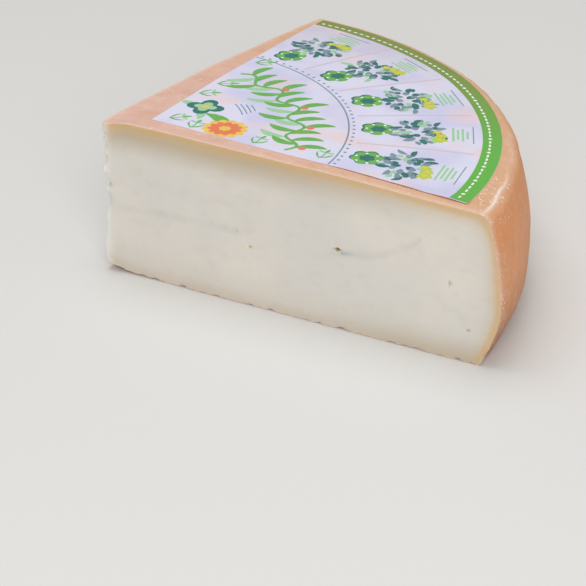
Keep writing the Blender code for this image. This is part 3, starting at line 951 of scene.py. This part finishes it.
def relief(plain, points, cut_points, finish):
    """How far each point is pushed out, and how far it is from the nearest edge."""
    x, y, z = points.T
    plain_x, plain_y, level = plain.T
    base = level < FLAT_GAP
    top = level > RIM_HEIGHT - FLAT_GAP
    label = smooth(in_label(x, y), -1.5 * MM, 1.5 * MM) * top
    grain = finish.grain * (noise_at(x, y, z, 7 * MM) + 0.6 * noise_at(x, y, z, 3.2 * MM))
    grain = np.where(base, -np.abs(grain), grain)
    on_rind = grain * (1.0 - label) + LABEL_BED * label
    on_paste = cut_swell(x, y, z) + 0.05 * MM * noise_at(x / 5, y / 5, z, 2.6 * MM)
    to_cut = np.minimum(np.abs(from_back(plain_x, plain_y)), np.abs(plain_y))
    edge = np.where(cut_points, rind_distance(plain), to_cut)
    crumbs = noise_at(x, y, z, 3.1 * MM) + 0.5 * noise_at(x, y, z, 6.5 * MM)
    low = smooth(z, 14 * MM, 2 * MM)
    bite = finish.nibble * (0.35 + 2.0 * low) * np.maximum(0.0, crumbs + 0.12)
    out = np.where(cut_points, on_paste, on_rind)
    return out - bite * bell(edge, NIBBLE_REACH), edge


def rind_distance(plain):
    """Distance of points inside the plain quarter from its rind."""
    x, y, z = plain.T
    return np.minimum(np.minimum(RIM_HEIGHT - z, z), heel_radius(z) - from_axis(x, y))


def soft_least(first, second, size):
    """The lesser of two distances, with the corner between them rounded."""
    blend = np.clip(0.5 + 0.5 * (second - first) / size, 0.0, 1.0)
    return second + (first - second) * blend - size * blend * (1.0 - blend)


def paste_marks(plain, points, dark):
    """What the paste's material reads at each point, distances in millimetres."""
    x, y, z = points.T
    plain_x, plain_y, level = plain.T
    heel = heel_radius(level) - from_axis(plain_x, plain_y)
    gap = z - ash_height(x, y)
    gap += np.sign(gap) * 20 * MM * smooth(from_axis(x, y), ASH_RADIUS, ASH_RADIUS + 3 * MM)
    shows = np.where(plain_y < plain_x, ash_shows(x, "front"), ash_shows(y, "back"))
    tip = np.hypot(plain_x, plain_y)
    return {
        "rind_depth": soft_least(RIM_HEIGHT - level, heel, 6 * MM) / MM,
        "base_depth": level / MM,
        "ash_gap": gap / MM,
        "ash_shows": shows,
        "hollow": dark,
        "tip_near": bell(tip, TIP_PALE_REACH),
    }


def rind_marks(plain, points, edge):
    """What the rind's material reads at each point: places, the white line of salt and painted
    highlight, dots, the painted highlight along the cut edges, and cloth.
    """
    x, y, z = points.T
    level = plain[:, 2] / RIM_HEIGHT
    out = from_axis(plain[:, 0], plain[:, 1])
    past = out - shoulder_radius()
    turn = np.arctan2(y - AXIS_Y, x - AXIS_X)
    # How far the painted highlight along the cut edges reaches, wider far from the tip along the
    # front cut
    edge_highlight = 1.3 * MM + 1.2 * MM * smooth(x, 100 * MM, 130 * MM)
    # The white line on the crest, salt with a painted highlight, strongest at one turn about the
    # middle
    wander = 0.8 * MM * noise_at(x, y, 0.0, 15 * MM)
    ridge = bell(past - CREST_PLACE - wander, CREST_WIDTH)
    patchy = np.clip(0.1 + 1.6 * noise_at(x, y, 3.0, 24 * MM), 0.0, 1.0)
    along = np.maximum(np.exp(-(np.degrees(turn) - 11.5) ** 2 / 34.0), 0.5 * patchy)
    near = bell(past + 1 * MM, 5 * MM) * smooth(level, 0.8, 0.9)
    salt = 0.5 * near * along + 0.6 * np.exp(-edge / (3 * MM)) * (level < 0.97)
    salt += 0.34 * np.exp(-plain[:, 2] / (5 * MM)) + 0.04
    return {
        "rind_up": level,
        "from_middle": out / MM,
        "edge_near": bell(edge, edge_highlight),
        "crest": ridge * along * smooth(level, 0.86, 0.96),
        "salt": np.where(past > -12 * MM, salt, 0.03),
        "cloth": smooth(past, 1 * MM, 4 * MM),
        "imprint": (0.8 * turn * WHEEL_RADIUS + 0.6 * z) / MM,
    }


def make_cheese():
    """The rind and the paste, which grow into each other, as one closed mesh."""
    finish = bpy.context.scene.cheese_finish
    plain, faces, cuts = plain_quarter()
    kept, which = whole_faces(faces)
    cuts = cuts[which]
    points = placed_quarter(plain)
    on_cut, on_shell = np.zeros((2, len(points)), bool)
    for face, is_cut in zip(kept, cuts):
        (on_cut if is_cut else on_shell)[face] = True
    cut_points = on_cut & ~on_shell
    normals = point_normals(points, kept)
    out, edge = relief(plain, points, cut_points, finish)
    depth, dark = hollows(points, cut_points)
    points = points + normals * out[:, None]
    front = plain[:, 1] < plain[:, 0]
    points = points + np.where(front[:, None], (0.0, 1.0, 0.0), (1.0, 0.0, 0.0)) * depth[:, None]
    points[:, 2] = np.maximum(points[:, 2], 0.0)
    materials = (rind_material(finish), paste_material(finish))
    cheese = show("cheese_body", points, kept, materials, math.radians(48))
    cheese.data.polygons.foreach_set("material_index", cuts.astype(np.int32))
    marks = {**paste_marks(plain, points, dark), **rind_marks(plain, points, edge)}
    for name, values in marks.items():
        stored = cheese.data.attributes.new(name, "FLOAT", "POINT")
        stored.data.foreach_set("value", np.ascontiguousarray(values, np.float32))
    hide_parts("cheese")


def closed_sheet(x, y, top, under, shape):
    """Points and faces of a thin closed sheet, from a grid of places and its two heights."""
    rows, columns = shape
    count = rows * columns
    numbers = np.arange(count).reshape(shape)
    rim = np.concatenate(
        (numbers[0, :-1], numbers[:-1, -1], numbers[-1, :0:-1], numbers[:0:-1, 0])
    )
    following = np.roll(rim, -1)
    side = np.column_stack((following, rim, rim + count, following + count))
    over = grid_faces(rows, columns, 0)[:, ::-1]
    points = np.vstack((np.column_stack((x, y, top)), np.column_stack((x, y, under))))
    return points, np.vstack((over, grid_faces(rows, columns, count), side))


def make_ash_layer():
    """The ash layer: a thin sheet through the paste whose edge shows at both cuts."""
    finish = bpy.context.scene.ash_finish
    swing = np.linspace(-1.0, 1.0, ASH_GRID[0])
    crowded = np.sign(swing) * (1.0 - (1.0 - np.abs(swing)) ** 1.6)
    turns = (BACK_TURN / 2) * (1.0 + crowded)[:, None]
    runs = np.linspace(0.0, 1.0, ASH_GRID[1])
    away = ASH_START + runs * (reach(turns, ASH_RADIUS) - ASH_START)
    x, y = (away * np.cos(turns)).reshape(-1), (away * np.sin(turns)).reshape(-1)
    z = ash_height(x, y)
    front = bell(y, ASH_EDGE_REACH) * (y < x)
    back = bell(from_back(x, y), ASH_EDGE_REACH) * (x <= y)
    shows = front * ash_shows(x, "front") + back * ash_shows(y, "back")
    seen = np.clip(front + back, 0.0, 1.0)
    strong = np.where(seen > 0.05, shows / np.maximum(seen, 0.05), 1.0)
    grit = 1.0 + 0.45 * noise_at(x, y, z, 2.2 * MM) + 0.3 * noise_at(x, y, z, 6 * MM)
    thin = 1.0 - 0.5 * smooth(from_axis(x, y), ASH_RADIUS - 18 * MM, ASH_RADIUS)
    half = 0.5 * finish.thickness * thin * grit * (1.0 - seen * (1.0 - strong))
    half = np.maximum(half, ASH_LEAST_HALF)
    z = z + 0.25 * MM * noise_at(x, y, z, 5 * MM)
    hide = ASH_HIDE * smooth(ASH_SEEN_FROM - strong, 0.0, 0.08)
    sunk = hide - cut_swell(x, y, z) - finish.proud
    front_wave, back_wave = knife_waves(x, y, z)
    y = y + front * (front_wave + sunk)
    x = x + back * (back_wave + sunk)
    points, faces = closed_sheet(x, y, z + half, z - half, ASH_GRID)
    material = ash_material(finish)
    layer = show("ash_sheet", points, faces.tolist(), (material,), math.radians(50))
    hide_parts("ash_layer")


def label_underside(x, y):
    """Height of the paper's underside, with a loose stretch along the front edge."""
    finish = bpy.context.scene.label_finish
    edge = bell(from_sides(x, y)[0], 3.5 * MM)
    loose = smooth(x, 88 * MM, 116 * MM) * (0.75 + 0.5 * noise_at(x, 0.0, 0.0, 9 * MM))
    crease = 0.06 * MM * (1.0 + noise_at(x, y, 0.0, 13 * MM))
    return top_height(x, y) + finish.height + finish.lift * edge * loose + crease


def label_plan():
    """Places on the label's plan, along rays from its corner near the tip."""
    first, last = -math.atan(LABEL_FRONT_LEAN), math.pi / 2 + math.atan(LABEL_BACK_LEAN)
    turns = np.linspace(first, last, LABEL_GRID[0])[:, None]
    corner_x = LABEL_BACK_MARGIN - LABEL_BACK_LEAN * LABEL_FRONT_MARGIN
    corner_x /= 1.0 - LABEL_BACK_LEAN * LABEL_FRONT_LEAN
    corner_y = LABEL_FRONT_MARGIN - LABEL_FRONT_LEAN * corner_x
    dx, dy = corner_x - LABEL_X, corner_y - LABEL_Y
    along = dx * np.cos(turns) + dy * np.sin(turns)
    far = -along + np.sqrt(along ** 2 + LABEL_RADIUS ** 2 - dx ** 2 - dy ** 2)
    away = np.linspace(0.0, 1.0, LABEL_GRID[1]) * far
    x, y = corner_x + away * np.cos(turns), corner_y + away * np.sin(turns)
    return x.reshape(-1), y.reshape(-1)


def make_label():
    """The paper label, a thin sheet that follows the upper rind."""
    finish = bpy.context.scene.label_finish
    x, y = label_plan()
    low = label_underside(x, y)
    points, faces = closed_sheet(x, y, low + finish.thickness, low, LABEL_GRID)
    first, faces = weld(points, faces, LABEL_WELD)
    kept, _ = whole_faces(faces)
    material = paper_material(finish)
    sheet = show(
        "label_sheet", points[first], kept, (material,), math.radians(50)
    )
    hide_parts("label")


def ribbon(path, widths, columns=1):
    """A flat band of changing width along a line, as points and faces."""
    path = np.asarray(path, float)
    widths = np.broadcast_to(np.asarray(widths, float), len(path))
    along = np.gradient(path, axis=0)
    along /= np.maximum(np.hypot(*along.T), 1e-9)[:, None]
    aside = np.column_stack((-along[:, 1], along[:, 0]))
    shares = np.linspace(-0.5, 0.5, columns + 1)
    points = path[:, None, :] + aside[:, None, :] * (widths[:, None] * shares)[..., None]
    return points.reshape(-1, 2), grid_faces(len(path), columns + 1, 0)


def leaf(start, end, width, bend=0.0):
    """A leaf from one point to another, bowed to one side."""
    start, end = np.array(start, float), np.array(end, float)
    share = np.linspace(0.0, 1.0, 7)[:, None]
    line = end - start
    aside = np.array((-line[1], line[0]))
    path = start + line * share + aside * bend * (4.0 * share * (1.0 - share))
    return ribbon(path, width * np.sin(math.pi * np.linspace(0.03, 0.97, 7)) ** 0.8)


def disc(centre, radius, petals=0, depth=0.0):
    """A round spot, or a flower with petals, as a fan of faces."""
    steps = max(14, petals * 6)
    turn = np.linspace(0.0, 2.0 * math.pi, steps, endpoint=False)
    far = radius * (1.0 - depth + depth * np.abs(np.cos(turn * petals / 2))) if petals else radius
    ring = np.column_stack((np.cos(turn), np.sin(turn))) * np.reshape(far, (-1, 1))
    points = np.vstack(([0.0, 0.0], ring * 0.5, ring)) + np.array(centre, float)
    faces = []
    for i in range(steps):
        after = (i + 1) % steps
        faces.append((0, 1 + i, 1 + after, 0))
        faces.append((1 + i, 1 + steps + i, 1 + steps + after, 1 + after))
    return points, np.array(faces)


def arc_line(radius, start, end, step=0.8):
    """Points along an arc about the label's middle, from one turn to another in degrees."""
    count = max(3, int(abs(end - start) / step) + 2)
    turn = np.radians(np.linspace(start, end, count))
    radius = np.broadcast_to(radius, count)
    return np.column_stack((radius * np.cos(turn), radius * np.sin(turn)))


class Print:
    """The label's motifs by ink, in millimetres about the label's middle."""

    def __init__(self):
        self.inks = {ink: [] for ink in INKS}

    def lay(self, ink, layer, shape, radius=0.0, turn=90.0, spin=0.0, size=1.0):
        """Carries a shape, drawn with its foot towards the middle, to its place and layer."""
        points, faces = shape
        angle = math.radians(turn + spin - 90.0)
        cos, sin = math.cos(angle) * size, math.sin(angle) * size
        turned = np.column_stack(
            (points[:, 0] * cos - points[:, 1] * sin, points[:, 0] * sin + points[:, 1] * cos)
        )
        centre = radius * np.array((math.cos(math.radians(turn)), math.sin(math.radians(turn))))
        self.inks[ink].append((turned + centre, faces, layer))

    def leaf_pair(self, ink, layer, foot, head, width, bend, *place):
        """A leaf to each side from one foot."""
        for side in (-1, 1):
            shape = leaf(foot, (head[0] * side, head[1]), width, bend * side)
            self.lay(ink, layer, shape, *place)

    def flower(self, discs, radius, turn, spin=0.0):
        """A flower of discs, one over the other."""
        for ink, layer, middle, size, petals, cut, twist in discs:
            self.lay(ink, layer, disc(middle, size, petals, cut), radius, turn, spin + twist)


def bar(half, width):
    """A straight bar across, drawn from end to end."""
    return ribbon(((-half, 0), (-half / 2, 0), (0, 0), (half / 2, 0), (half, 0)), width)


def posy(made, radius, turn, spin, seed):
    """A bunch of dark and grey leaves with one light flower."""
    for number in range(40):
        angle = number * GOLDEN_TURN + seed
        away = 1.5 * math.sqrt(number + 0.4)
        foot = (away * math.cos(angle) * 1.12, away * math.sin(angle) * 0.82)
        size = 4.0 + 1.4 * math.sin(number * 1.7 + seed)
        lean = angle + 0.7 * math.cos(number + seed)
        head = (foot[0] + size * math.cos(lean), foot[1] + size * math.sin(lean))
        shape = leaf(foot, head, 3.1 - 0.03 * number, 0.12)
        made.lay(POSY_INKS[number % 7], number % 4, shape, radius, turn, spin)
    for number in range(3):
        spot = (7.6 - 3.6 * number, 7.2 + 1.6 * number - 0.9 * number ** 2)
        made.lay("lime", 4, disc(spot, 3.0 - 0.5 * number, 5, 0.4), radius, turn, spin)
        made.lay("yellow", 5, disc(spot, 0.8), radius, turn, spin)


def sprig(made, *place):
    """Three leaves on a bent stem, with two blades at its foot."""
    stem = ribbon(((0, 0), (0.5, 2.2), (0.3, 4.6), (-0.4, 7.0)), (0.7, 0.6, 0.5, 0.4))
    made.lay("green", 1, stem, *place)
    for angle in (-70, 0, 70):
        away = (math.sin(math.radians(angle)), math.cos(math.radians(angle)))
        shape = leaf((-0.4, 6.6), (-0.4 + 4.4 * away[0], 6.6 + 4.4 * away[1]), 1.7)
        made.lay("leaf" if angle else "green", 0, shape, *place)
    made.leaf_pair("green", 2, (0.3, 0.6), (4.0, 6.4), 0.9, -0.12, *place)


def garland(made, radius, start, end):
    """A leafy vine along an arc, with small berries."""
    turns = np.linspace(start, end, 80)
    sway = radius + 3.0 * np.sin(np.linspace(0.0, 9.0 * math.pi, 80))
    path = np.column_stack((sway * np.cos(np.radians(turns)), sway * np.sin(np.radians(turns))))
    made.lay("green", 1, ribbon(path, 1.2))
    for number in range(1, 26):
        place = (sway[3 * number], turns[3 * number])
        side = 1 if number % 2 else -1
        blade = leaf((0, 0), (3.0 * side, 11.5 * side), 3.5, 0.14)
        ink, layer = ("green", 2) if number % 4 else ("leaf", 0)
        made.lay(ink, layer, blade, *place, 24 if side > 0 else -14)
        if number % 6 == 2:
            made.lay("orange", 3, disc((-3.4 * side, 3.0), 1.4), *place)


def edge_band(made, first, last, width):
    """The coloured band along the label's round edge, with a row of light beads."""
    rim = DRAWN_RADIUS - 0.05
    made.lay("band", 0, ribbon(arc_line(rim - width / 2, first, last), width, 4))
    dash = ribbon(((-1.1, 0), (-0.5, 0), (0.5, 0), (1.1, 0)), (0.4, 0.8, 0.8, 0.4))
    for number in range(BEADS):
        turn = first + 1.6 + number * (last - first - 3.0) / (BEADS - 1)
        shape = disc((0, 0), 0.8, 4, 0.3) if number % 4 == 1 else dash
        made.lay("white", 1, shape, rim - 0.62 * width, turn)


def field(made, turn, number):
    """One field of the outer ring: a rosette, a posy and a few thin bars."""
    place = (104.4, turn + 0.4, -14 + 9 * (number % 2))
    made.flower(ROSETTE, *place)
    for dot in range(6):
        angle = math.radians(60 * dot)
        made.lay("white", 2, disc((4.4 * math.sin(angle), 4.4 * math.cos(angle)), 0.55), *place)
    posy(made, 119.4, turn - 0.2, 10 - 7 * (number % 3), number * 1.3)
    for line, half in enumerate((7.0, 5.0, 6.4, 3.8)):
        made.lay("leaf", 0, bar(half, 0.85), 132.0 + 1.75 * line, turn - 0.6)
    made.lay("slate", 0, bar(8.5, 0.4), 139.4, turn - 0.4)


def span(radius):
    """The turns in degrees at which a drawn arc meets the label's two straight sides."""
    front, back = from_sides(LABEL_X, LABEL_Y)
    size = radius * LABEL_RADIUS / DRAWN_RADIUS
    start = math.asin(-front / size) - math.atan(LABEL_FRONT_LEAN)
    end = math.pi / 2 - math.asin(-back / size) + math.atan(LABEL_BACK_LEAN)
    return math.degrees(start), math.degrees(end)


def label_print(cells, band):
    """Every motif of the label by ink."""
    made = Print()
    edge_band(made, *span(DRAWN_RADIUS), band / MM)
    start, end = span(93.5)
    made.lay("slate", 0, ribbon(arc_line(93.5, start, end), 0.6))
    for turn in np.linspace(start + 1.2, end - 1.2, 33):
        made.lay("slate", 0, disc((0, 0), 0.6), 95.4, turn)
    first, last = span(120.0)
    step = (last - first) / cells
    for number in range(cells):
        field(made, first + (number + 0.5) * step, number)
        if number:
            turn = math.radians(first + number * step)
            line = np.linspace(97.5, 140.5, 22)[:, None] * (math.cos(turn), math.sin(turn))
            made.lay("blush", 0, ribbon(line, 1.1))
    start, end = span(74.0)
    garland(made, 74.0, start + 2.5, end - 4.0)
    place = (48.0, 24.5)
    made.leaf_pair("green", 0, (0, 0), (14.0, -9.0), 5.4, 0.15, *place)
    made.flower(MARIGOLD, *place)
    place = (43.0, 53.0)
    made.leaf_pair("leaf", 0, (0, -4.0), (10.5, -7.0), 3.6, 0.15, *place)
    made.flower(BLOSSOM, *place)
    for line in range(4):
        arc = arc_line(54.6 + 1.8 * line, 40.0 + line, 52.0 - line)
        made.lay("slate", 0, ribbon(arc, 0.5))
    for radius, turn, spin in SPRIGS:
        sprig(made, radius, turn, spin + 60 - turn, 0.8)
    return made.inks


def on_label(points):
    """Plan places from the tip of motif points, kept inside the label's straight sides."""
    size = LABEL_RADIUS / DRAWN_RADIUS
    x = points[:, 0] * size + LABEL_X
    y = points[:, 1] * size + LABEL_Y
    front, _ = from_sides(x, y)
    y = y + np.maximum(PRINT_MARGIN - front, 0.0)
    _, back = from_sides(x, y)
    return x + np.maximum(PRINT_MARGIN - back, 0.0), y


def facing_up(x, y, cells):
    """A flat shape's faces without repeated points, all turned to face up."""
    faces = [list(dict.fromkeys(face)) for face in cells.tolist()]
    area = sum((x[f] * np.roll(y[f], -1) - y[f] * np.roll(x[f], -1)).sum() for f in faces)
    return faces if area > 0 else [face[::-1] for face in faces]


def rim_edges(faces):
    """The edges of flat faces that only one face has, in that face's order."""
    found = {}
    for face in faces:
        for pair in zip([face[-1], *face], face):
            found.setdefault(frozenset(pair), []).append(pair)
    return [pairs[0] for pairs in found.values() if len(pairs) == 1]


def make_label_print():
    """The print, one thin piece for each ink, laid on the paper."""
    finish = bpy.context.scene.label_finish
    for ink, shapes in label_print(finish.cells, finish.band_width).items():
        points, faces, first = [], [], 0
        for flat, cells, layer in shapes:
            x, y = on_label(flat)
            count = len(x)
            paper = label_underside(x, y) + finish.thickness
            top = paper + INK_HEIGHT + layer * INK_STEP
            points.append(np.column_stack((x, y, top)))
            points.append(np.column_stack((x, y, paper - INK_DEPTH)))
            over = facing_up(x, y, cells)
            for face in over:
                faces.append([first + point for point in face])
                faces.append([first + count + point for point in reversed(face)])
            for start, end in rim_edges(over):
                start, end = first + start, first + end
                faces.append((end, start, start + count, end + count))
            first += 2 * count
        if ink == "band":
            material = band_material(finish)
        else:
            material = ink_material("ink_" + ink, getattr(finish, ink))
        show("print_" + ink, np.vstack(points), faces, (material,))


def make_stage():
    """The plain pale floor, the soft lights, the camera and the plain colour transform."""
    scene = bpy.context.scene
    studio = scene.studio
    mesh = bpy.data.meshes.new("floor")
    corners = ((-1, -1), (1, -1), (1, 1), (-1, 1))
    mesh.from_pydata(
        [(x * FLOOR_REACH, y * FLOOR_REACH, FLOOR_HEIGHT) for x, y in corners], [], [(0, 1, 2, 3)]
    )
    mesh.materials.append(floor_material(studio.floor))
    floor = bpy.data.objects.new("floor", mesh)
    scene.collection.objects.link(floor)
    for name, place, size, power in (
        ("light_above", (-0.25, 0.1, 1.5), 1.3, studio.above),
        ("light_front", (0.85, -1.3, 0.85), 1.0, studio.front),
    ):
        lamp = bpy.data.lights.new(name, "AREA")
        lamp.shape = "DISK"
        lamp.size = size
        lamp.energy = power
        light = bpy.data.objects.new(name, lamp)
        light.location = place
        light.rotation_euler = (-Vector(place)).to_track_quat("-Z", "Y").to_euler()
        scene.collection.objects.link(light)
    world = bpy.data.worlds.new("room")
    world.use_nodes = True
    background = world.node_tree.nodes["Background"]
    background.inputs["Color"].default_value = (1.0, 1.0, 1.0, 1.0)
    background.inputs["Strength"].default_value = studio.room
    scene.world = world
    view = bpy.data.cameras.new("camera")
    view.lens = studio.lens
    view.sensor_width = 36.0
    camera = bpy.data.objects.new("camera", view)
    camera.location = CAMERA_PLACE
    camera.rotation_euler = (CAMERA_TILT, 0.0, CAMERA_TURN)
    scene.collection.objects.link(camera)
    scene.camera = camera
    scene.view_settings.view_transform = "Standard"


class Maker:
    """What each operator below does: it runs its own function."""

    def execute(self, context):
        self.make()
        return {"FINISHED"}


class CHEESE_OT_body(Maker, bpy.types.Operator):
    """Make the rind and the paste in place of the plain solid"""

    bl_idname = "cheese.body"
    bl_label = "Rind and paste"
    make = staticmethod(make_cheese)


class CHEESE_OT_ash(Maker, bpy.types.Operator):
    """Make the ash layer in place of its plain solid"""

    bl_idname = "cheese.ash"
    bl_label = "Ash layer"
    make = staticmethod(make_ash_layer)


class CHEESE_OT_label(Maker, bpy.types.Operator):
    """Make the paper label in place of its plain solid"""

    bl_idname = "cheese.label"
    bl_label = "Label"
    make = staticmethod(make_label)


class CHEESE_OT_label_print(Maker, bpy.types.Operator):
    """Lay the print on the label, one piece for each ink"""

    bl_idname = "cheese.label_print"
    bl_label = "Label print"
    make = staticmethod(make_label_print)


class CHEESE_OT_stage(Maker, bpy.types.Operator):
    """Set up the floor, the lights and the camera"""

    bl_idname = "cheese.stage"
    bl_label = "Studio"
    make = staticmethod(make_stage)


class CHEESE_PT_quarter(bpy.types.Panel):
    """The pieces of the cheese quarter and their finishes"""

    bl_idname = "CHEESE_PT_quarter"
    bl_label = "Cheese quarter"
    bl_space_type = "VIEW_3D"
    bl_region_type = "UI"
    bl_category = "Cheese"

    def draw(self, context):
        scene = context.scene
        groups = (
            (scene.cheese_finish, ("cheese.body",)),
            (scene.ash_finish, ("cheese.ash",)),
            (scene.label_finish, ("cheese.label", "cheese.label_print")),
            (scene.studio, ("cheese.stage",)),
        )
        for group, operators in groups:
            box = self.layout.box()
            for name in group.bl_rna.properties.keys():
                if name not in ("rna_type", "name"):
                    box.prop(group, name)
            for operator in operators:
                box.operator(operator)


CLASSES = (
    CheeseFinish, AshFinish, LabelFinish, Studio, CHEESE_OT_body, CHEESE_OT_ash,
    CHEESE_OT_label, CHEESE_OT_label_print, CHEESE_OT_stage, CHEESE_PT_quarter,
)
SETTINGS = {
    "cheese_finish": CheeseFinish, "ash_finish": AshFinish, "label_finish": LabelFinish,
    "studio": Studio,
}


def register():
    """Adds the classes and the settings that the scene carries."""
    for made in CLASSES:
        bpy.utils.register_class(made)
    for name, group in SETTINGS.items():
        setattr(bpy.types.Scene, name, PointerProperty(type=group))


def unregister():
    """Takes the settings and the classes away again."""
    for name in SETTINGS:
        delattr(bpy.types.Scene, name)
    for made in reversed(CLASSES):
        bpy.utils.unregister_class(made)


def main():
    """Makes every piece and the studio."""
    register()
    bpy.ops.cheese.body()
    bpy.ops.cheese.ash()
    bpy.ops.cheese.label()
    bpy.ops.cheese.label_print()
    bpy.ops.cheese.stage()


if __name__ == "__main__":
    main()
